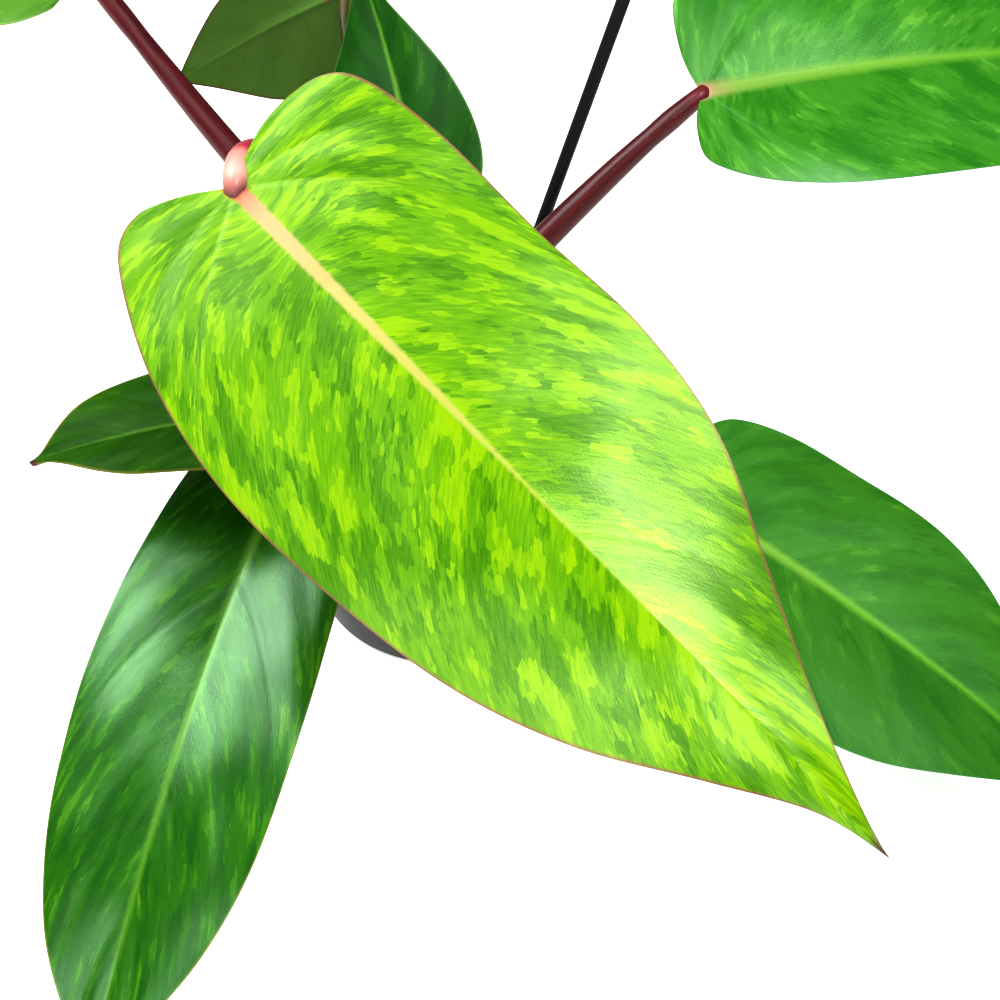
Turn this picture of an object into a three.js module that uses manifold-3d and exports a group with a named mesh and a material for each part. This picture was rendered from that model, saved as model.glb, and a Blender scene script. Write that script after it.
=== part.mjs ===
// A potted philodendron: eight leaves on red stalks round a short stem, with a support stake,
// in potting mix in a five inch nursery pot. Millimetres, +Z up, origin at the centre of the
// pot's underside.
import * as THREE from 'three';
import { mergeVertices } from 'three/addons/utils/BufferGeometryUtils.js';
import Module from 'manifold-3d';

const wasm = await Module();
wasm.setup();

// Pot and potting mix
const POT_HEIGHT = 92;
const POT_BASE_RADIUS = 46;
const POT_CORNER = 3;
const POT_RIM_RADIUS = 63;
const POT_WALL = 1.5;
const COLLAR_HEIGHT = 15;
const COLLAR_STEP = 2.2;
const DRAIN_HOLES = 6;
const DRAIN_RADIUS = 5;
const DRAIN_RING_RADIUS = 33;
const POT_SIDES = 40;
const SOIL_TOP = 78;
const SOIL_CROWN = 2.5;
const SOIL_LUMP = 0.9;
const CLEARANCE = 0.3;

// Stem, shoot and stake
const STEM_FOOT = 48;
const STEM_TOP = 128;
const STEM_RADIUS = 6.4;
const STEM_TOP_RADIUS = 5;
const NODE_SWELL = 0.6;
const NODE_HEIGHT = 2.2;
const SHOOT_FOOT = [2, 2, 128.3];
const SHOOT_TIP = [9, 7, 166];
const SHOOT_RADIUS = 2.7;
const SHOOT_TIP_RADIUS = 0.4;
const ROOT_RADIUS = 1.5;
const ROOT_TIP_RADIUS = 0.7;
const ROOT_LENGTH = 12.5;
const AERIAL_ROOTS = [
  { turn: 20, height: 86 }, { turn: 130, height: 90 }, { turn: 200, height: 84 },
  { turn: 300, height: 87 },
];
const STAKE_FOOT = [9, 12, 60];
const STAKE_TOP = [65.5, 46, 230];
const STAKE_RADIUS = 2;
const STAKE_POINT = 4;
const STAKE_SIDES = 12;

// Leaf stalks
const STALK_FOOT_RADIUS = 3.8;
const STALK_TOP_RADIUS = 1.75;
const STALK_TAPER = 2.2;
const STALK_ROOT = 3;
const STALK_SIDES = 8;
const STALK_STEPS = 12;
const KNEE_LENGTH = 0.1;
const KNEE_SWELL = 0.45;

// Leaf blades
const BLADE_THICKNESS = 0.85;
const RIB_DEPTH = 2.8;
const RIB_TIP_DEPTH = 0.4;
const RIB_FLANK = 0.35;
const RIB_REACH = 0.125;
const FAN_VEINS = 0.33;
const COLUMN_SPREAD = 1.3;
const MARGIN_WAVES = 3;
const VEIN_SWEEP = THREE.MathUtils.degToRad(15);
const TWIST_START = 0.3;

// Half outlines from the back of the lobe to the tip, as [along / length, across / half width]
const HEART = [[-0.06, 0.5], [-0.005, 0.8], [0.13, 0.965], [0.3, 1], [0.47, 0.97],
  [0.62, 0.82], [0.76, 0.55], [0.88, 0.26], [0.96, 0.07], [1, 0]];
const OBLONG = [[-0.05, 0.46], [0.01, 0.72], [0.15, 0.9], [0.33, 0.98], [0.5, 1],
  [0.66, 0.92], [0.8, 0.68], [0.91, 0.34], [0.97, 0.11], [1, 0]];
const BROAD = [[-0.04, 0.56], [0.005, 0.86], [0.12, 0.97], [0.28, 0.97], [0.43, 1],
  [0.57, 0.905], [0.71, 0.6], [0.84, 0.29], [0.94, 0.09], [1, 0]];
const POINTED = [[-0.06, 0.45], [-0.015, 0.66], [0.1, 0.89], [0.25, 1], [0.42, 0.97],
  [0.57, 0.87], [0.7, 0.665], [0.82, 0.35], [0.92, 0.09], [1, 0]];
const TAPERED = [[-0.05, 0.46], [0, 0.75], [0.12, 0.97], [0.25, 1], [0.4, 0.86],
  [0.55, 0.62], [0.7, 0.38], [0.84, 0.18], [0.94, 0.06], [1, 0]];
const shallow = (outline) => outline.map(([along, across]) => [Math.max(along, along / 2), across]);

// Each leaf: base and tip of the blade, the way its upper side faces, half widths seen from
// above with the tip pointing away, arch of the midrib upward (bow) and to the right (swing),
// arch of the halves, fold of the halves along the midrib at the base and at the tip in degrees,
// turn of the blade about its midrib from base to tip (twist), and waves of the margin.
// node is the stalk's height on the stem; leave and arrive steer its curve at both ends.
const LEAVES = [
  { name: '1', base: [-38, -90, 222], tip: [98, -210, 144], face: [0, -0.68, 0.74],
    left: 41, right: 47, outlines: [BROAD, POINTED], bow: 5, swing: 0, fold: 8, tipFold: -20,
    arch: 0.03, twist: 0, wave: 0.8, rows: 30, columns: 7,
    node: 121, leave: [-16, -22, 50], arrive: [2, -17, -16], stalk: 1.3 },
  { name: '2', base: [-40, -41, 101], tip: [-88, -202, 21], face: [-0.1, -0.45, 0.89],
    left: 32.2, right: 32.5, outlines: [OBLONG, OBLONG], bow: 16, swing: 0, fold: 16, tipFold: 6,
    arch: 0.15, twist: 0, wave: 1.2, rows: 22, columns: 5,
    node: 88, leave: [-14, -10, 16], arrive: [-14, -14, -4], stalk: 0.9 },
  { name: '3', base: [-29, -49, 121], tip: [-113, -64, 114], face: [0, -0.1, 1],
    left: 21, right: 22.5, outlines: [HEART, OBLONG], bow: 5, swing: 0, fold: 16, tipFold: 10,
    arch: 0.15, twist: 0, wave: 0.8, rows: 18, columns: 4,
    node: 104, leave: [-4, -14, 16], arrive: [-10, -14, 0], stalk: 0.75 },
  { name: '4', base: [-109, 71, 197], tip: [-215, 172, 178], face: [-0.1, -0.35, 0.93],
    left: 45, right: 36, outlines: [HEART, HEART], bow: 12, swing: 0, fold: 16, tipFold: 6,
    arch: 0.15, twist: 0, wave: 1.2, rows: 22, columns: 5,
    node: 113, leave: [-41, 6, 24], arrive: [-26, 16, 26], stalk: 1.25 },
  { name: '5', base: [-34, 127, 162], tip: [-98, 121, 129], face: [-0.05, 1, -0.1],
    left: 19, right: 31, outlines: [HEART, HEART], bow: 5, swing: 0, fold: 12, tipFold: 8,
    arch: 0.15, twist: 0, wave: 0.8, rows: 18, columns: 4,
    node: 93, leave: [10, 45, 2], arrive: [6, 26, 28], stalk: 0.9 },
  { name: '6', base: [81, 33, 175], tip: [255, 70, 166], face: [0, -0.5, 0.87],
    left: 43, right: 40.5, outlines: [shallow(HEART), shallow(POINTED)], bow: 12, swing: 0,
    fold: 16, tipFold: 6, arch: 0.15, twist: 0, wave: 1.2, rows: 22, columns: 5,
    node: 107, leave: [23, 11, 20], arrive: [25, 8.5, 17.5], stalk: 1.22 },
  { name: '7', base: [74, -53, 90], tip: [187, -129, 46], face: [0.1, -0.35, 0.93],
    left: 38, right: 42, outlines: [HEART, HEART], bow: 8, swing: 0, fold: 14, tipFold: 6,
    arch: 0.15, twist: 0, wave: 1.2, rows: 22, columns: 5,
    node: 97, leave: [24, -12, 30], arrive: [24, -16, -16], stalk: 0.9 },
  { name: '8', base: [-4, 28, 135], tip: [-27, 112, 178], face: [-0.4, -0.35, 0.85],
    left: 27, right: 23.5, outlines: [HEART, TAPERED], bow: 4, swing: 3, fold: 14, tipFold: 14,
    arch: 0.15, twist: -40, wave: 0.8, rows: 18, columns: 4,
    node: 115, leave: [-1, 10, 4], arrive: [0, 6, 10], stalk: 0.7 },
];

const vector = (xyz) => new THREE.Vector3(...xyz);

const mix = (a, b, share) => a + (b - a) * share;

// A closed body from its points and triangles
function body(points, triangles) {
  const geometry = new THREE.BufferGeometry();
  geometry.setAttribute('position',
    new THREE.Float32BufferAttribute(points.flatMap((p) => [p.x, p.y, p.z]), 3));
  geometry.setIndex(triangles.flat());
  return geometry;
}

function toSolid(geometry) {
  const bare = geometry.clone();
  bare.deleteAttribute('normal');
  bare.deleteAttribute('uv');
  const merged = mergeVertices(bare, 1e-4);
  return new wasm.Manifold(new wasm.Mesh({
    numProp: 3,
    vertProperties: new Float32Array(merged.attributes.position.array),
    triVerts: new Uint32Array(merged.index.array),
  }));
}

function toGeometry(solid) {
  const mesh = solid.getMesh();
  const geometry = new THREE.BufferGeometry();
  geometry.setAttribute('position', new THREE.BufferAttribute(mesh.vertProperties, 3));
  geometry.setIndex(new THREE.BufferAttribute(mesh.triVerts, 1));
  return geometry;
}

// A round bar of changing radius along a curve, closed at both ends
function bar(curve, radiusAt, sides, steps) {
  const frames = curve.computeFrenetFrames(steps, false);
  const points = [];
  for (let i = 0; i <= steps; i += 1) {
    const centre = curve.getPointAt(i / steps);
    const radius = radiusAt(i / steps);
    for (let k = 0; k < sides; k += 1) {
      const turn = (k / sides) * 2 * Math.PI;
      points.push(centre.clone()
        .addScaledVector(frames.normals[i], radius * Math.cos(turn))
        .addScaledVector(frames.binormals[i], radius * Math.sin(turn)));
    }
  }
  const start = points.push(curve.getPointAt(0)) - 1;
  const end = points.push(curve.getPointAt(1)) - 1;
  const triangles = [];
  for (let k = 0; k < sides; k += 1) {
    const next = (k + 1) % sides;
    for (let i = 0; i < steps; i += 1) {
      const [a, b] = [i * sides + k, i * sides + next];
      const [c, d] = [a + sides, b + sides];
      triangles.push([a, b, d], [a, d, c]);
    }
    triangles.push([start, next, k]);
    triangles.push([end, steps * sides + k, steps * sides + next]);
  }
  return body(points, triangles);
}

// The midrib's curve and the blade's own directions
function bladeFrame(leaf) {
  const base = vector(leaf.base);
  const tip = vector(leaf.tip);
  const chord = tip.clone().sub(base);
  const length = chord.length();
  chord.normalize();
  const face = vector(leaf.face);
  face.addScaledVector(chord, -face.dot(chord)).normalize();
  const crown = base.clone().lerp(tip, 0.5).addScaledVector(face, 2 * leaf.bow)
    .addScaledVector(chord.clone().cross(face), 2 * leaf.swing);
  const midrib = new THREE.QuadraticBezierCurve3(base, crown, tip);
  const outlines = leaf.outlines.map((points) => new THREE.SplineCurve(
    points.map(([along, across]) => new THREE.Vector2(along, across))));
  return { length, face, midrib, outlines };
}

// A point of the blade's middle surface: vein 0..1 counts the side veins from the lobe's back
// edge to the tip, out 0..1 goes along the vein from the midrib to the margin. The first veins
// fan out from the notch where the stalk ends, the others leave the midrib one after another.
function bladePoint(leaf, frame, side, vein, out) {
  const { length, face, midrib, outlines } = frame;
  const halfWidth = side > 0 ? leaf.right : leaf.left;
  const edge = outlines[side > 0 ? 1 : 0].getPoint(vein);
  const root = new THREE.Vector2(length * Math.max(0, (vein - FAN_VEINS) / (1 - FAN_VEINS)), 0);
  const end = new THREE.Vector2(edge.x * length, edge.y * halfWidth);
  const reach = end.clone().sub(root);
  const bend = reach.clone().multiplyScalar(0.5)
    .rotateAround(new THREE.Vector2(), VEIN_SWEEP).add(root);
  const flat = new THREE.QuadraticBezierCurve(root, bend, end).getPoint(out);
  const along = flat.x / length;
  const share = Math.min(Math.max(along, 0), 1);
  const tangent = midrib.getTangent(share);
  const centre = midrib.getPoint(share).addScaledVector(tangent, Math.min(flat.x, 0));
  const turn = THREE.MathUtils.degToRad(leaf.twist) * (share - TWIST_START);
  const across = tangent.clone().cross(face).normalize().applyAxisAngle(tangent, turn);
  const up = across.clone().cross(tangent);
  const fold = THREE.MathUtils.degToRad(mix(leaf.fold, leaf.tipFold, share));
  const spread = flat.y / halfWidth;
  const ripple = leaf.wave * Math.sin(2 * Math.PI * MARGIN_WAVES * vein + side) * out ** 3;
  const rise = flat.y * Math.sin(fold) - leaf.arch * halfWidth * spread ** 2 + ripple;
  return {
    point: centre.addScaledVector(across, side * flat.y * Math.cos(fold)).addScaledVector(up, rise),
    up,
    along: share,
  };
}

// Leaf blade with its rib below, both faces split alike; extra thickens it for a cut
function bladeGeometry(leaf, extra = 0) {
  const frame = bladeFrame(leaf);
  const { rows, columns } = leaf;
  const points = [];
  const addPair = ({ point, up, along }, out) => {
    const rib = mix(RIB_DEPTH, RIB_TIP_DEPTH, along);
    const deep = out === 0 ? rib : Math.max(0, RIB_FLANK * rib * (1 - out / RIB_REACH));
    const half = BLADE_THICKNESS / 2 + extra;
    points.push(point.clone().addScaledVector(up, half));
    points.push(point.clone().addScaledVector(up, -half - deep));
    return points.length - 2;
  };
  const notch = addPair(bladePoint(leaf, frame, 1, 0, 0), 0);
  const tip = addPair(bladePoint(leaf, frame, 1, 1, 0), 0);
  const ribPairs = [];
  for (let row = 0; row < rows; row += 1) {
    const vein = row / rows;
    ribPairs.push(vein <= FAN_VEINS ? notch : addPair(bladePoint(leaf, frame, 1, vein, 0), 0));
  }
  const triangles = [];
  const addFaces = (a, b, c, side) => {
    if (a === b || b === c || a === c) return;
    const [p, q] = side > 0 ? [b, c] : [c, b];
    triangles.push([a, p, q], [a + 1, q + 1, p + 1]);
  };
  const loops = { 1: [], '-1': [] };
  for (const side of [1, -1]) {
    const grid = [];
    for (let row = 0; row <= rows; row += 1) {
      const line = [];
      for (let column = 0; column <= columns; column += 1) {
        const out = (column / columns) ** COLUMN_SPREAD;
        if (row === rows) line.push(tip);
        else if (column === 0) line.push(ribPairs[row]);
        else line.push(addPair(bladePoint(leaf, frame, side, row / rows, out), out));
      }
      grid.push(line);
    }
    for (let row = 0; row < rows; row += 1) {
      for (let column = 0; column < columns; column += 1) {
        const [a, b] = [grid[row][column], grid[row][column + 1]];
        const [c, d] = [grid[row + 1][column + 1], grid[row + 1][column]];
        addFaces(a, b, c, side);
        addFaces(a, c, d, side);
      }
    }
    loops[side] = [...grid[0].slice(1), ...grid.slice(1, rows).map((line) => line[columns])];
  }
  const rim = [notch, ...loops[1], tip, ...loops[-1].reverse()];
  rim.forEach((a, i) => {
    const b = rim[(i + 1) % rim.length];
    triangles.push([a, a + 1, b + 1], [a, b + 1, b]);
  });
  return body(points, triangles);
}

// Stem with a swelling at each stalk and short aerial roots
function stemSolid(grow = 0) {
  const height = STEM_TOP - STEM_FOOT;
  const nodes = LEAVES.map((leaf) => (leaf.node - STEM_FOOT) / height);
  const radiusAt = (share) => {
    const away = Math.min(...nodes.map((node) => Math.abs(share - node))) * height;
    const swell = NODE_SWELL * Math.exp(-((away / NODE_HEIGHT) ** 2));
    return mix(STEM_RADIUS, STEM_TOP_RADIUS, share) + swell + grow;
  };
  const axis = new THREE.LineCurve3(
    new THREE.Vector3(0, 0, STEM_FOOT - grow), new THREE.Vector3(0, 0, STEM_TOP + grow));
  let solid = toSolid(bar(axis, radiusAt, 10, 30));
  for (const root of AERIAL_ROOTS) {
    const way = new THREE.Vector3(1, 0, 0)
      .applyAxisAngle(new THREE.Vector3(0, 0, 1), THREE.MathUtils.degToRad(root.turn));
    const at = (out, height) => way.clone().multiplyScalar(out * ROOT_LENGTH).setZ(height);
    const path = new THREE.QuadraticBezierCurve3(
      at(0.25, root.height), at(0.7, root.height + 1), at(1, root.height - 2));
    const radius = (share) => mix(ROOT_RADIUS, ROOT_TIP_RADIUS, share) + grow;
    solid = solid.add(toSolid(bar(path, radius, 6, 5)));
  }
  return solid;
}

// Stalk from the stem to the blade's notch: wide at its foot, slim above, with a swollen knee
function stalkSolid(leaf, stemCut) {
  const turn = Math.atan2(leaf.leave[1], leaf.leave[0]);
  const start = new THREE.Vector3(
    STALK_ROOT * Math.cos(turn), STALK_ROOT * Math.sin(turn), leaf.node);
  const base = vector(leaf.base);
  const path = new THREE.CubicBezierCurve3(start, start.clone().add(vector(leaf.leave)),
    base.clone().sub(vector(leaf.arrive)), base);
  const radiusAt = (share) => {
    const knee = Math.min(1, Math.max(0, 2 - (1 - share) / KNEE_LENGTH));
    return leaf.stalk * (mix(STALK_FOOT_RADIUS, STALK_TOP_RADIUS, share ** STALK_TAPER)
      + KNEE_SWELL * knee);
  };
  let stalk = toSolid(bar(path, radiusAt, STALK_SIDES, STALK_STEPS)).subtract(stemCut);
  const { midrib, face } = bladeFrame(leaf);
  const along = midrib.getTangent(0);
  const across = along.clone().cross(face);
  for (const shift of [along.negate(), across, across.clone().negate()]) {
    const blade = bladeGeometry(leaf, CLEARANCE);
    blade.translate(...shift.multiplyScalar(CLEARANCE));
    stalk = stalk.subtract(toSolid(blade));
  }
  const lengths = stalk.decompose().sort((a, b) => b.volume() - a.volume());
  return lengths[0];
}

// Rolled next leaf in its sheath, on top of the stem
function shootGeometry() {
  const path = new THREE.QuadraticBezierCurve3(
    vector(SHOOT_FOOT),
    new THREE.Vector3(SHOOT_FOOT[0], SHOOT_FOOT[1], mix(SHOOT_FOOT[2], SHOOT_TIP[2], 0.6)),
    vector(SHOOT_TIP));
  const radius = (share) => SHOOT_TIP_RADIUS + (SHOOT_RADIUS - SHOOT_TIP_RADIUS) * Math.sqrt(1 - share);
  return bar(path, radius, 8, 10);
}

// Stands an upright shape on the stake's foot and leans it toward the stake's top
function lean(geometry) {
  const way = vector(STAKE_TOP).sub(vector(STAKE_FOOT)).normalize();
  const turn = new THREE.Quaternion().setFromUnitVectors(new THREE.Vector3(0, 0, 1), way);
  return geometry.applyQuaternion(turn).translate(...STAKE_FOOT);
}

// Rod with a pointed foot and a rounded top
function stakeGeometry() {
  const length = vector(STAKE_TOP).distanceTo(vector(STAKE_FOOT));
  const profile = [
    [0, 0], [0.5 * STAKE_RADIUS, 0], [STAKE_RADIUS, STAKE_POINT], [STAKE_RADIUS, length - 1],
    [0.6 * STAKE_RADIUS, length], [0, length],
  ].map(([radius, z]) => new THREE.Vector2(radius, z));
  return lean(new THREE.LatheGeometry(profile, STAKE_SIDES).rotateX(Math.PI / 2));
}

// Round hole for the rod, from just below its foot to well above the potting mix
function stakeHole() {
  const deep = 2 * (SOIL_TOP - STAKE_FOOT[2]);
  const radius = STAKE_RADIUS + CLEARANCE;
  const hole = new THREE.CylinderGeometry(radius, radius, deep, STAKE_SIDES);
  return lean(hole.rotateX(Math.PI / 2).translate(0, 0, deep / 2 - CLEARANCE));
}

// Pot as one turned shell: wall, stepped collar and rolled lip, with drain holes in its floor
function potSolid() {
  const collarFoot = POT_HEIGHT - COLLAR_HEIGHT;
  const wallTop = mix(POT_BASE_RADIUS, POT_RIM_RADIUS, collarFoot / POT_HEIGHT) - COLLAR_STEP / 2;
  const inner = POT_BASE_RADIUS - POT_WALL;
  const profile = [
    [0, 0], [POT_BASE_RADIUS - POT_CORNER, 0], [POT_BASE_RADIUS - 0.8, 0.8],
    [POT_BASE_RADIUS + 0.3, POT_CORNER],
    [wallTop, collarFoot], [wallTop + COLLAR_STEP, collarFoot + 1],
    [POT_RIM_RADIUS - 0.6, POT_HEIGHT - 3], [POT_RIM_RADIUS, POT_HEIGHT - 1.5],
    [POT_RIM_RADIUS - 0.9, POT_HEIGHT], [POT_RIM_RADIUS - 2.6, POT_HEIGHT - 0.6],
    [wallTop + COLLAR_STEP - POT_WALL, collarFoot + 1.5], [wallTop - POT_WALL, collarFoot],
    [inner + 0.5, POT_CORNER + 1], [inner - POT_CORNER, POT_WALL], [0, POT_WALL],
  ].map(([radius, z]) => new THREE.Vector2(radius, z));
  const shell = new THREE.LatheGeometry(profile, POT_SIDES).rotateX(Math.PI / 2);
  let solid = toSolid(shell);
  for (let i = 0; i < DRAIN_HOLES; i += 1) {
    const turn = (i / DRAIN_HOLES) * 2 * Math.PI;
    const drill = new THREE.CylinderGeometry(DRAIN_RADIUS, DRAIN_RADIUS, 3 * POT_WALL, 12);
    drill.rotateX(Math.PI / 2);
    drill.translate(DRAIN_RING_RADIUS * Math.cos(turn), DRAIN_RING_RADIUS * Math.sin(turn), 0.5);
    solid = solid.subtract(toSolid(drill));
  }
  return { solid, collarFoot, wallTop };
}

// Potting mix up to a little below the lip, lumpy on top, with holes for the stem and the stake
function soilSolid({ collarFoot, wallTop }, stemCut) {
  const gap = POT_WALL + CLEARANCE;
  const profile = [
    [0, gap], [POT_BASE_RADIUS - gap - POT_CORNER - 0.5, gap],
    [POT_BASE_RADIUS - gap, POT_CORNER + 2],
    [wallTop - gap - 0.1, collarFoot - 1], [wallTop - gap - 1.4, SOIL_TOP],
    [46, SOIL_TOP + 0.4], [34, SOIL_TOP + 0.3 * SOIL_CROWN], [22, SOIL_TOP + 0.6 * SOIL_CROWN],
    [11, SOIL_TOP + 0.85 * SOIL_CROWN], [0, SOIL_TOP + SOIL_CROWN],
  ].map(([radius, z]) => new THREE.Vector2(radius, z));
  const heap = new THREE.LatheGeometry(profile, POT_SIDES - 4).rotateX(Math.PI / 2);
  const place = heap.attributes.position;
  for (let i = 0; i < place.count; i += 1) {
    const [x, y, z] = [place.getX(i), place.getY(i), place.getZ(i)];
    const lump = Math.sin(0.41 * x + 1) * Math.cos(0.37 * y) + 0.5 * Math.sin(0.83 * x - 0.7 * y);
    if (z > SOIL_TOP + 0.1) place.setZ(i, z + SOIL_LUMP * lump);
  }
  return toSolid(heap).subtract(stemCut).subtract(toSolid(stakeHole()));
}

const finish = (color, roughness) => new THREE.MeshStandardMaterial({
  color, roughness, metalness: 0,
});

const plant = new THREE.Group();

function addPiece(name, geometry, material) {
  const mesh = new THREE.Mesh(geometry, material);
  mesh.name = name;
  plant.add(mesh);
}

const BLADE_COLOURS = {
  1: '#8fd216', 2: '#3c9440', 3: '#2c6410', 4: '#6cc04a', 5: '#4b7414', 6: '#4aa63c',
  7: '#3c8a2e', 8: '#1f7a12',
};

const stemCut = stemSolid(CLEARANCE);
const pot = potSolid();
addPiece('pot', toGeometry(pot.solid), finish('#161617', 0.55));
addPiece('soil', toGeometry(soilSolid(pot, stemCut)), finish('#33241a', 0.95));
addPiece('stem', toGeometry(stemSolid()), finish('#5d6a2c', 0.6));
addPiece('shoot', shootGeometry(), finish('#a8384a', 0.45));
addPiece('stake', stakeGeometry(), finish('#0c0d0c', 0.5));
for (const leaf of LEAVES) {
  addPiece(`stalk_${leaf.name}`, toGeometry(stalkSolid(leaf, stemCut)), finish('#5a1c24', 0.45));
  addPiece(`leaf_${leaf.name}`, bladeGeometry(leaf), finish(BLADE_COLOURS[leaf.name], 0.38));
}

export default plant;
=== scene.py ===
import math
import random
from dataclasses import dataclass

import bmesh
import bpy
import numpy as np
from mathutils import Euler, Matrix, Vector


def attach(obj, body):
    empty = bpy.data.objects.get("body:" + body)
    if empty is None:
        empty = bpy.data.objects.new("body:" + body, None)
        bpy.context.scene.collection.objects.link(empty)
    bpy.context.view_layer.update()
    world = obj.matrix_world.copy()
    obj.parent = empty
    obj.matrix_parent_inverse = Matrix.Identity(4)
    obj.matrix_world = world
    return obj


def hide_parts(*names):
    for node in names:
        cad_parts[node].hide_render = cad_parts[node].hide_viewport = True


# Lengths below are in millimetres, as in the solids, and MM turns them into metres.
MM = 0.001

# Half outlines from the back of the lobe to the tip, as (along / length, across / half width)
HEART = [(-0.06, 0.5), (-0.005, 0.8), (0.13, 0.965), (0.3, 1), (0.47, 0.97),
         (0.62, 0.82), (0.76, 0.55), (0.88, 0.26), (0.96, 0.07), (1, 0)]
OBLONG = [(-0.05, 0.46), (0.01, 0.72), (0.15, 0.9), (0.33, 0.98), (0.5, 1),
          (0.66, 0.92), (0.8, 0.68), (0.91, 0.34), (0.97, 0.11), (1, 0)]
BROAD = [(-0.04, 0.56), (0.005, 0.86), (0.12, 0.97), (0.28, 0.97), (0.43, 1),
         (0.57, 0.905), (0.71, 0.6), (0.84, 0.29), (0.94, 0.09), (1, 0)]
POINTED = [(-0.06, 0.45), (-0.015, 0.66), (0.1, 0.89), (0.25, 1), (0.42, 0.97),
           (0.57, 0.87), (0.7, 0.665), (0.82, 0.35), (0.92, 0.09), (1, 0)]
TAPERED = [(-0.05, 0.46), (0, 0.75), (0.12, 0.97), (0.25, 1), (0.4, 0.86),
           (0.55, 0.62), (0.7, 0.38), (0.84, 0.18), (0.94, 0.06), (1, 0)]


def shallow(outline):
    """The same outline with lobes half as deep"""
    return [(max(along, along / 2), across) for along, across in outline]


@dataclass
class Leaf:
    """One leaf, with the sizes of its solid. base and tip are the ends of the blade, and face is
    the way its upper side looks. left and right are the widths of its halves, and outlines their
    shapes. The midrib arches up by bow and sideways by swing. The halves rise from it by fold
    degrees at the base and tip_fold at the tip, turn round it by twist degrees, droop by arch
    towards the margin and ripple there by wave. The stalk leaves the stem at the height of node
    along leave, meets the blade along arrive and is stalk times the usual thickness. Each half
    has rows by columns of faces, veins side veins, and a swelling of quilt between them."""
    name: str
    base: tuple
    tip: tuple
    face: tuple
    left: float
    right: float
    outlines: tuple
    bow: float
    fold: float
    tip_fold: float
    arch: float
    wave: float
    node: float
    leave: tuple
    arrive: tuple
    stalk: float
    swing: float = 0
    twist: float = 0
    rows: int = 100
    columns: int = 28
    veins: int = 9
    quilt: float = 0.4


LEAVES = [
    Leaf("1", (-38, -90, 222), (98, -210, 144), (0, -0.68, 0.74), 41, 47, (BROAD, POINTED),
         bow=5, fold=8, tip_fold=-20, arch=0.03, wave=0.8, node=121, leave=(-16, -22, 50),
         arrive=(2, -17, -16), stalk=1.3, rows=170, columns=50, veins=8,
         quilt=0.75),
    Leaf("2", (-40, -41, 101), (-88, -202, 21), (-0.1, -0.45, 0.89), 32.2, 32.5, (OBLONG, OBLONG),
         bow=16, fold=16, tip_fold=6, arch=0.15, wave=1.2, node=88, leave=(-14, -10, 16),
         arrive=(-14, -14, -4), stalk=0.9, rows=130, columns=36, quilt=0.5),
    Leaf("3", (-29, -49, 121), (-113, -64, 114), (0, -0.1, 1), 21, 22.5, (HEART, OBLONG),
         bow=5, fold=16, tip_fold=10, arch=0.15, wave=0.8, node=104, leave=(-4, -14, 16),
         arrive=(-10, -14, 0), stalk=0.75, veins=7),
    Leaf("4", (-109, 71, 197), (-215, 172, 178), (-0.1, -0.35, 0.93), 45, 36, (HEART, HEART),
         bow=12, fold=16, tip_fold=6, arch=0.15, wave=1.2, node=113, leave=(-41, 6, 24),
         arrive=(-26, 16, 26), stalk=1.25),
    Leaf("5", (-34, 127, 162), (-98, 121, 129), (-0.05, 1, -0.1), 19, 31, (HEART, HEART),
         bow=5, fold=12, tip_fold=8, arch=0.15, wave=0.8, node=93, leave=(10, 45, 2),
         arrive=(6, 26, 28), stalk=0.9, veins=7),
    Leaf("6", (81, 33, 175), (255, 70, 166), (0, -0.5, 0.87), 43, 40.5,
         (shallow(HEART), shallow(POINTED)), bow=12, fold=16, tip_fold=6, arch=0.15, wave=1.2,
         node=107, leave=(23, 11, 20), arrive=(25, 8.5, 17.5), stalk=1.22, rows=130, columns=36),
    Leaf("7", (74, -53, 90), (187, -129, 46), (0.1, -0.35, 0.93), 38, 42, (HEART, HEART),
         bow=8, fold=14, tip_fold=6, arch=0.15, wave=1.2, node=97, leave=(24, -12, 30),
         arrive=(24, -16, -16), stalk=0.9, rows=130, columns=36),
    Leaf("8", (-4, 28, 135), (-27, 112, 178), (-0.4, -0.35, 0.85), 27, 23.5, (HEART, TAPERED),
         bow=4, fold=14, tip_fold=14, arch=0.15, wave=0.8, node=115, leave=(-1, 10, 4),
         arrive=(0, 6, 10), stalk=0.7, swing=3, twist=-40, veins=7),
]

# Blades: thickness, midrib, side veins and relief, with FAN_VEINS the share of the side veins
# that start at the notch
BLADE_THICKNESS = 0.85
MARGIN_THICKNESS = 0.45
RIB_DEPTH = 2.8
RIB_TIP_DEPTH = 0.4
RIB_WIDTH = 1.5
RIB_RIDGE = 0.35
RIDGE_END = 0.625
KNEE_RIDGE = 1.1
KNEE_RIDGE_REACH = 4
FAN_VEINS = 0.33
VEIN_SWEEP = math.radians(15)
TWIST_START = 0.3
MARGIN_WAVES = 3
VEIN_GROOVE = 0.2
VEIN_WIDTH = 0.7
SWELL_SPACING = 16
UNEVENNESS = 0.22
COLUMN_SPREAD = 1.15
LOBE_ROUNDING = 0.15
ROUNDED_VEINS = 0.08
MARGIN_SLANT = 0.8
BLADE_WELD = 0.004

# Grain: the coordinates that the mottling lies in, across the side veins and along them, as are
# the sizes of its cells, patches, drifts and streaks. Round the notch, where the veins crowd
# together, they are flat instead, so that cells keep their size, and in front of it they lean
# forward as the veins do. GRAIN_GAP parts leaf from leaf.
GRAIN_STRETCH = 1.15
GRAIN_GAP = 60
CELL_WIDTH = 0.9
CELL_LENGTH = 2.8
DEEP_PATCH = (8, 20)
PALE_PATCH = (4.5, 12)
DRIFT = (35, 45)
STREAK = (0.5, 6)
NOTCH_REACH = 16
NOTCH_SHIFT = 30
NOTCH_LEAN = 0.7
LEAN_START = -10
LEAN_RUN = 30

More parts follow.
